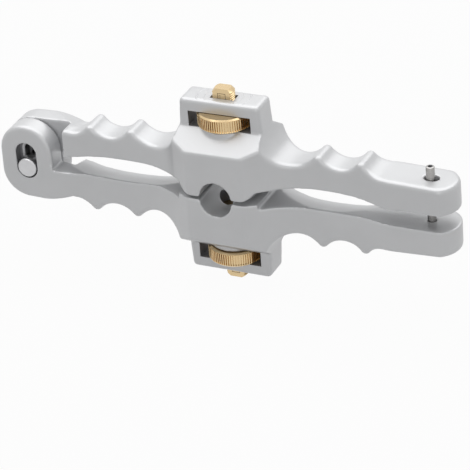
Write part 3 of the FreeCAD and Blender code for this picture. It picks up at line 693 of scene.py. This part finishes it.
def tick_cutter(face, low, high, metal):
    """The scale's ticks, centred along the frame."""
    ticks = solid("tick_cutter", bmesh.new(), metal)
    grow(ticks, scale_ticks, {"Tick Count": TICKS, "Step": TICK_STEP * MM,
                              "Length": TICK_LENGTH * MM,
                              "Line": SCALE_LINE * TICK_LINE_SHARE * MM,
                              "Thickness": SCALE_DEPTH * 2 * MM, "Metal": metal})
    first = (low + high - TICK_STEP * (TICKS - 1)) / 2
    start = Vector((TICK_INSET - SCALE_FRAME[0] / 2, face, first)) * MM
    ticks.data.transform(Matrix.Translation(start))
    return ticks


def number_cutter(face, low, high, metal):
    """The scale's number, which reads upright when the stem points up."""
    curve = bpy.data.curves.new("number", "FONT")
    curve.body = NUMBER
    curve.size = NUMBER_SIZE * MM
    curve.extrude = SCALE_DEPTH * MM
    curve.align_x = "CENTER"
    curve.align_y = "CENTER"
    curve.resolution_u = 4
    drawn = bpy.data.objects.new("number", curve)
    bpy.context.scene.collection.objects.link(drawn)
    digit = bpy.data.meshes.new_from_object(
        drawn.evaluated_get(bpy.context.evaluated_depsgraph_get()))
    bpy.data.objects.remove(drawn)
    upright = Matrix.Rotation(math.radians(90), 4, "X")
    if face > 0:
        upright = Matrix.Rotation(math.pi, 4, "Z") @ upright
    spot = Vector((SCALE_FRAME[0] / 2 - NUMBER_INSET, face, (low + high) / 2)) * MM
    digit.transform(Matrix.Translation(spot) @ Matrix.Rotation(math.pi, 4, "Y") @ upright)
    form = bmesh.new()
    form.from_mesh(digit)
    bmesh.ops.remove_doubles(form, verts=form.verts, dist=NUMBER_WELD * MM)
    return solid("number_cutter", form, metal)


def engraved_fill():
    """Dark oxide left in the engraved lines."""
    fill, tree, shader = bare_metal("engraved_lines", metallic=0.0, roughness=0.8)
    mottle(tree, noise(tree, scale=900, detail=2), ENGRAVED, shaded(ENGRAVED, 2.5), shader)
    return fill


engraved_lines = engraved_fill()
across_head = (Matrix.Translation((0, 0, SCREW_HEIGHT * MM))
               @ Matrix.Rotation(math.radians(90), 4, "Y"))
scoop_centre = Vector((SCOOP_DEPTH - CARTRIDGE_RADIUS - SCOOP_RADIUS, 0, SCREW_HEIGHT)) * MM
beside_head = Matrix.Translation(scoop_centre) @ Matrix.Rotation(math.radians(90), 4, "X")


def cartridge(name, brass):
    """One blade holder: turned, threaded, milled, bored and engraved."""
    holder = turned_solid(name, [
        (0, STEM_TIP), (STEM_RADIUS - TIP_BEVEL, STEM_TIP),
        *thread_blank(STEM_RADIUS, STEM_TIP + TIP_BEVEL, WAIST, THREAD_PITCH),
        (CARTRIDGE_RADIUS - WAIST_BREAK, WAIST), (CARTRIDGE_RADIUS, WAIST + WAIST_BREAK),
        *eased_rim(CARTRIDGE_RADIUS, HEAD_END, CARTRIDGE_EDGE), (0, HEAD_END)], brass)
    cut_threads(holder, THREAD_PITCH, THREAD_DEPTH, crest=STEM_RADIUS, low=STEM_TIP - CUT_LAP,
                high=WAIST - THREAD_RELIEF, side=OUTSIDE, metal=brass)
    flats = [((-CUT_REACH, -CUT_REACH, STEM_TIP - CUT_LAP), (CUT_REACH, -STEM_FLAT, WAIST)),
             ((-CUT_REACH, STEM_FLAT, STEM_TIP - CUT_LAP), (CUT_REACH, CUT_REACH, WAIST))]
    carve(holder, milled_solid("flat_cutter", flats, brass))
    slit = [((-SLIT_HALF, -CUT_REACH, SLIT_END), (SLIT_HALF, CUT_REACH, HEAD_END + CUT_LAP))]
    carve(holder, milled_solid("slit_cutter", slit, brass))
    counterbore = [(0, -CUT_REACH), (SCREW_HOLE, -CUT_REACH), (SCREW_HOLE, SCREW_SEAT),
                   (SCREW_SINK, SCREW_SEAT), (SCREW_SINK, CUT_REACH), (0, CUT_REACH)]
    carve(holder, turned_solid("screw_cutter", counterbore, brass, across_head, SCREW_SIDES))
    carve(holder, turned_solid("scoop_cutter", rod(SCOOP_RADIUS, -CUT_REACH, CUT_REACH), brass,
                               beside_head))
    low, high = SCALE_START, SCALE_START + SCALE_FRAME[1]
    for face in (-STEM_FLAT, STEM_FLAT):
        for cutter in (frame_cutter, tick_cutter, number_cutter):
            carve(holder, cutter(face, low, high, engraved_lines))
    return holder


brasses = {}
for side, seat in seats.items():
    marks = seat @ Vector((0, 0, BRASS_MARKS * MM))
    brasses[side] = turned_metal(side + "_brass", BRASS, tarnish=0.88, roughness=0.22,
                                 centre=(marks.x / MM, 0, 0))
    holder = cartridge(side + "_cartridge", brasses[side])
    holder.data.transform(seat)
    finish_edges(holder)
    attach(holder, side + "_cartridge")
    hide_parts(side + "_blade_holder")


# Blades: hardened steel plates, ground flat, with one pointed tooth brought to an edge. Each is
# pinched in its cartridge's slit by a small screw across the head.

BLADE_STEEL = (0.50, 0.51, 0.53, 1.0)
BLADE_HALF = 3.6
BLADE_THICKNESS = 0.9
BLADE_ROOT = -20.3
BLADE_REACH = 2.8
TOOTH_MIDDLE = 1.6
TOOTH_BACK = 0.9
TOOTH_FRONT = 1.9
TOOTH_SIDE = 3
SCREW_RADIUS = 1.25
SCREW_POINT = 0.3
SCREW_HEAD = 2.3
SCREW_HEAD_HEIGHT = 1.5
SCREW_EDGE = ((0, 0.3), (0.1, 0.1), (0.3, 0))
SCREW_END = -4.4
SCREW_PITCH = 0.45
SCREW_THREAD = 0.2
SCREW_RELIEF = 0.1
DRIVE_HALF = 0.3
DRIVE_REACH = 4.0
DRIVE_DEPTH = 0.7


def ground_steel(name, colour):
    """Ground steel: straight fine scratches along the plate."""
    metal, tree, shader = bare_metal(name, metallic=1.0)
    scratch = noise(tree, scale=6000, detail=3, stretch=(1, 0.05, 1))
    mottle(tree, scratch, shaded(colour, 0.8), colour, shader)
    spread(tree, scratch, low=0.36, high=0.22, socket=shader.inputs["Roughness"])
    return metal


def blade_plate(name, metal):
    """A flat plate whose top carries the tooth, ground from four sides to a point."""
    form = bmesh.new()
    half = BLADE_THICKNESS / 2
    rim = [(-BLADE_HALF, BLADE_ROOT), (BLADE_HALF, BLADE_ROOT), (BLADE_HALF, HEAD_END),
           (TOOTH_MIDDLE + TOOTH_BACK, HEAD_END), (TOOTH_MIDDLE - TOOTH_FRONT, HEAD_END),
           (-BLADE_HALF, HEAD_END)]
    left, right = [[form.verts.new(Vector((x, y, z)) * MM) for y, z in rim]
                   for x in (-half, half)]
    form.faces.new(left)
    form.faces.new(right)
    for first in range(len(rim)):
        after = (first + 1) % len(rim)
        strip = (left[first], left[after], right[after], right[first])
        if first != TOOTH_SIDE:
            form.faces.new(strip)
            continue
        tip = form.verts.new(Vector((0, TOOTH_MIDDLE, HEAD_END + BLADE_REACH)) * MM)
        for corner, next_corner in zip(strip, strip[1:] + strip[:1]):
            form.faces.new((corner, next_corner, tip))
    blade = solid(name, form, metal)
    hole = rod(SCREW_HOLE, -CUT_LAP * 2, CUT_LAP * 2)
    carve(blade, turned_solid("hole_cutter", hole, metal, across_head, SCREW_SIDES))
    return blade


def pinch_screw(name, metal):
    """A small slotted screw, turned and threaded, with its head up."""
    top = SCREW_SEAT + SCREW_HEAD_HEIGHT
    screw = turned_solid(name, [
        (0, SCREW_END), (SCREW_RADIUS - SCREW_POINT, SCREW_END),
        *thread_blank(SCREW_RADIUS, SCREW_END + SCREW_POINT, SCREW_SEAT, SCREW_PITCH),
        (SCREW_HEAD, SCREW_SEAT), *eased_rim(SCREW_HEAD, top, SCREW_EDGE), (0, top)],
        metal, sides=SCREW_SIDES)
    cut_threads(screw, SCREW_PITCH, SCREW_THREAD, crest=SCREW_RADIUS, low=SCREW_END - CUT_LAP,
                high=SCREW_SEAT - SCREW_RELIEF, side=OUTSIDE, metal=metal)
    drive = [((-DRIVE_HALF, -DRIVE_REACH, top - DRIVE_DEPTH),
              (DRIVE_HALF, DRIVE_REACH, top + CUT_LAP))]
    # The drive slot's walls take the painted shade of the milled cavities.
    carve(screw, milled_solid("drive_cutter", drive, painted_shade_metal))
    return screw


blade_metal = ground_steel("ground_blade", BLADE_STEEL)
screw_metal = turned_metal("screw_steel", PIN_STEEL, tarnish=0.7, roughness=0.3,
                           centre=(0, 0, SCREW_HEIGHT), axis="X")
for side, seat in seats.items():
    blade = blade_plate(side + "_cutter", blade_metal)
    blade.data.transform(seat)
    finish_edges(blade)
    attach(blade, side + "_cartridge")
    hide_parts(side + "_blade")

    screw = pinch_screw(side + "_pinch_screw", screw_metal)
    screw.data.transform(seat @ across_head)
    finish_edges(screw)
    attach(screw, side + "_cartridge")
    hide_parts(side + "_blade_screw")


# Thumb nuts: brass, turned and straight-knurled, running on the stems inside the windows. The
# ridges stop short of a bright bevel at each end of the rim.

NUT_MIDDLE = -31.55
NUT_HEIGHT = 6.7
NUT_RADIUS = 12.2
NUT_BORE = 4.95
NUT_LEAD = 0.5
NUT_THREAD = 0.35
NUT_RELIEF = 0.4
NUT_BEVEL = 0.65
NUT_SIDES = 144
NUT_CREASE = 25
RIM_INSET = 0.12
RIM_SLOPE = 0.5
RIDGES = 72
RIDGE_DEPTH = 0.7
RIDGE_WIDTH = 0.86
RIDGE_CREST = 0.55
RIDGE_GAP = 0.1
FACING_OUT = 0.9


def knurl_tree():
    """Straight ridges round a rim: one tapered bar, set out in a circle and sunk into it."""
    tree = bpy.data.node_groups.new("knurl_ridges", "GeometryNodeTree")
    given, result = node_inputs(tree, ("Ridge Count", "Seat Radius", "Depth", "Width",
                                       "Length", "Crest Share", "Metal"))
    circle = tree.nodes.new("GeometryNodeMeshCircle")
    tree.links.new(given["Ridge Count"], circle.inputs["Vertices"])
    tree.links.new(given["Seat Radius"], circle.inputs["Radius"])
    bar = tree.nodes.new("GeometryNodeMeshCube")
    tree.links.new(joined(tree, given["Depth"], given["Width"], given["Length"]),
                   bar.inputs["Size"])
    facing = tree.nodes.new("GeometryNodeInputNormal")
    parts = tree.nodes.new("ShaderNodeSeparateXYZ")
    tree.links.new(facing.outputs[0], parts.inputs[0])
    crest = tree.nodes.new("GeometryNodeScaleElements")
    tree.links.new(bar.outputs[0], crest.inputs["Geometry"])
    tree.links.new(sum_up(tree, "GREATER_THAN", parts.outputs[0], FACING_OUT),
                   crest.inputs["Selection"])
    crest.scale_mode = "SINGLE_AXIS"
    tree.links.new(given["Crest Share"], crest.inputs["Scale"])
    crest.inputs["Axis"].default_value = (0, 1, 0)
    outward = tree.nodes.new("FunctionNodeAlignRotationToVector")
    outward.axis = "X"
    spot = tree.nodes.new("GeometryNodeInputPosition")
    tree.links.new(spot.outputs[0], outward.inputs["Vector"])
    set_out = tree.nodes.new("GeometryNodeInstanceOnPoints")
    tree.links.new(circle.outputs[0], set_out.inputs["Points"])
    tree.links.new(crest.outputs[0], set_out.inputs["Instance"])
    tree.links.new(outward.outputs[0], set_out.inputs["Rotation"])
    both = tree.nodes.new("GeometryNodeJoinGeometry")
    tree.links.new(given["Geometry"], both.inputs[0])
    tree.links.new(set_out.outputs[0], both.inputs[0])
    finish_tree(tree, both.outputs[0], given["Metal"], result)
    return tree


def thumb_nut(name, brass):
    """One nut: turned with a plain rim, threaded inside, then given its ridges."""
    half = NUT_HEIGHT / 2
    rim = NUT_RADIUS - RIM_INSET
    root = NUT_RADIUS - RIDGE_DEPTH
    shoulder = half - NUT_BEVEL
    bore = [(NUT_BORE + NUT_LEAD, half),
            *thread_blank(NUT_BORE, half - NUT_LEAD, NUT_LEAD - half, THREAD_PITCH),
            (NUT_BORE + NUT_LEAD, -half)]
    end = [(rim - NUT_BEVEL, half), (rim, shoulder), (rim, shoulder - RIM_INSET),
           (root, shoulder - RIM_SLOPE)]
    outside = [(radius, -height) for radius, height in end] + end[::-1]
    nut = turned_solid(name, bore + outside, brass, sides=NUT_SIDES)
    cut_threads(nut, THREAD_PITCH, NUT_THREAD, crest=NUT_BORE, low=NUT_RELIEF - half,
                high=half - NUT_RELIEF, side=INSIDE, metal=brass)
    grow(nut, knurl_ridges, {"Ridge Count": RIDGES, "Seat Radius": root * MM,
                             "Depth": RIDGE_DEPTH * 2 * MM, "Width": RIDGE_WIDTH * MM,
                             "Length": (shoulder * 2 - RIDGE_GAP) * MM,
                             "Crest Share": RIDGE_CREST, "Metal": brass})
    return nut


knurl_ridges = knurl_tree()
for side, seat in seats.items():
    nut = thumb_nut(side + "_nut", brasses[side])
    nut.data.transform(seat @ Matrix.Translation((0, 0, NUT_MIDDLE * MM)))
    finish_edges(nut, NUT_CREASE)
    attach(nut, side + "_wheel")
    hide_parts(side + "_thumbwheel")


# The studio: a pale floor just under the tool, a wide soft box above, a weak one in front, and
# pale air. Floor and air look white, but throw back less light than they show.

FLOOR_DROP = 0.0005
FLOOR_SPAN = 6.0
FLOOR_GREY = (0.45, 0.45, 0.45, 1.0)
FLOOR_LIFT = 0.96
AIR_LIGHT = 0.3
AIR_SEEN = 1.0


def seen_plainly(tree):
    """1 for what the camera sees, itself or by a mirror or glass, and 0 for light alone."""
    path = tree.nodes.new("ShaderNodeLightPath").outputs
    mirrored = sum_up(tree, "MAXIMUM", path["Is Camera Ray"], path["Is Glossy Ray"])
    return sum_up(tree, "MAXIMUM", mirrored, path["Is Transmission Ray"])


def pale(name, colour, lift):
    """A backdrop that shows as plain white, and still keeps a soft shadow."""
    paint, tree, shader = bare_metal(name, metallic=0.0, roughness=1.0)
    shader.inputs["Base Color"].default_value = colour
    glow = tree.nodes.new("ShaderNodeEmission")
    glow.inputs["Strength"].default_value = 1.0
    blend = tree.nodes.new("ShaderNodeMixShader")
    tree.links.new(sum_up(tree, "MULTIPLY", seen_plainly(tree), lift), blend.inputs[0])
    tree.links.new(shader.outputs[0], blend.inputs[1])
    tree.links.new(glow.outputs[0], blend.inputs[2])
    tree.links.new(blend.outputs[0], tree.nodes["Material Output"].inputs["Surface"])
    return paint


floor_form = bmesh.new()
bmesh.ops.create_grid(floor_form, x_segments=1, y_segments=1, size=FLOOR_SPAN / 2)
for corner in floor_form.verts:
    corner.co.z = cad_box[0].z - FLOOR_DROP
floor_mesh = bpy.data.meshes.new("floor")
floor_form.to_mesh(floor_mesh)
floor_form.free()
floor = bpy.data.objects.new("floor", floor_mesh)
floor_mesh.materials.append(pale("floor_paint", FLOOR_GREY, FLOOR_LIFT))
bpy.context.scene.collection.objects.link(floor)

world = bpy.data.worlds.new("studio_air")
bpy.context.scene.world = world
world.use_nodes = True
air = world.node_tree.nodes["Background"]
air.inputs["Color"].default_value = (1.0, 1.0, 1.0, 1.0)
spread(world.node_tree, seen_plainly(world.node_tree), AIR_LIGHT, AIR_SEEN,
       air.inputs["Strength"])


def soft_box(name, place, width, depth, power):
    """A rectangular lamp that points at the tool."""
    lamp = bpy.data.lights.new(name, "AREA")
    lamp.shape = "RECTANGLE"
    lamp.size = width
    lamp.size_y = depth
    lamp.energy = power
    stand = bpy.data.objects.new(name, lamp)
    bpy.context.scene.collection.objects.link(stand)
    stand.location = place
    stand.rotation_mode = "QUATERNION"
    stand.rotation_quaternion = (-Vector(place)).to_track_quat("-Z", "Y")


soft_box("overhead", place=(-0.1, 0.25, 0.9), width=1.7, depth=1.4, power=11.2)
soft_box("front_fill", place=(0.6, -1.05, 0.5), width=0.9, depth=0.9, power=1.35)

bpy.context.scene.view_settings.view_transform = "Standard"


# The camera stands where the photograph was taken: to the right, above, and far off. Its roll
# and its shift put the tool where the picture shows it.

CAMERA_AZIMUTH = math.radians(26.19)
CAMERA_ELEVATION = math.radians(29.50)
CAMERA_ROLL = math.radians(-4.23)
CAMERA_DISTANCE = 1.40233
CAMERA_LENS = 250.0
CAMERA_NEAR = 0.05
FRAME_SHIFT_RIGHT = 0.00129
FRAME_SHIFT_UP = -0.022186

back = Vector((math.sin(CAMERA_AZIMUTH) * math.cos(CAMERA_ELEVATION),
               -math.cos(CAMERA_AZIMUTH) * math.cos(CAMERA_ELEVATION),
               math.sin(CAMERA_ELEVATION)))
level = Vector((math.cos(CAMERA_AZIMUTH), math.sin(CAMERA_AZIMUTH), 0))
upright = back.cross(level)
right = level * math.cos(CAMERA_ROLL) + upright * math.sin(CAMERA_ROLL)
up = upright * math.cos(CAMERA_ROLL) - level * math.sin(CAMERA_ROLL)
lens = bpy.data.cameras.new("camera")
lens.lens = CAMERA_LENS
lens.clip_start = CAMERA_NEAR
camera = bpy.data.objects.new("camera", lens)
bpy.context.scene.collection.objects.link(camera)
spot = right * FRAME_SHIFT_RIGHT + up * FRAME_SHIFT_UP + back * CAMERA_DISTANCE
turn = Matrix((right, up, back)).transposed().to_4x4()
camera.matrix_world = Matrix.Translation(spot) @ turn
bpy.context.scene.camera = camera
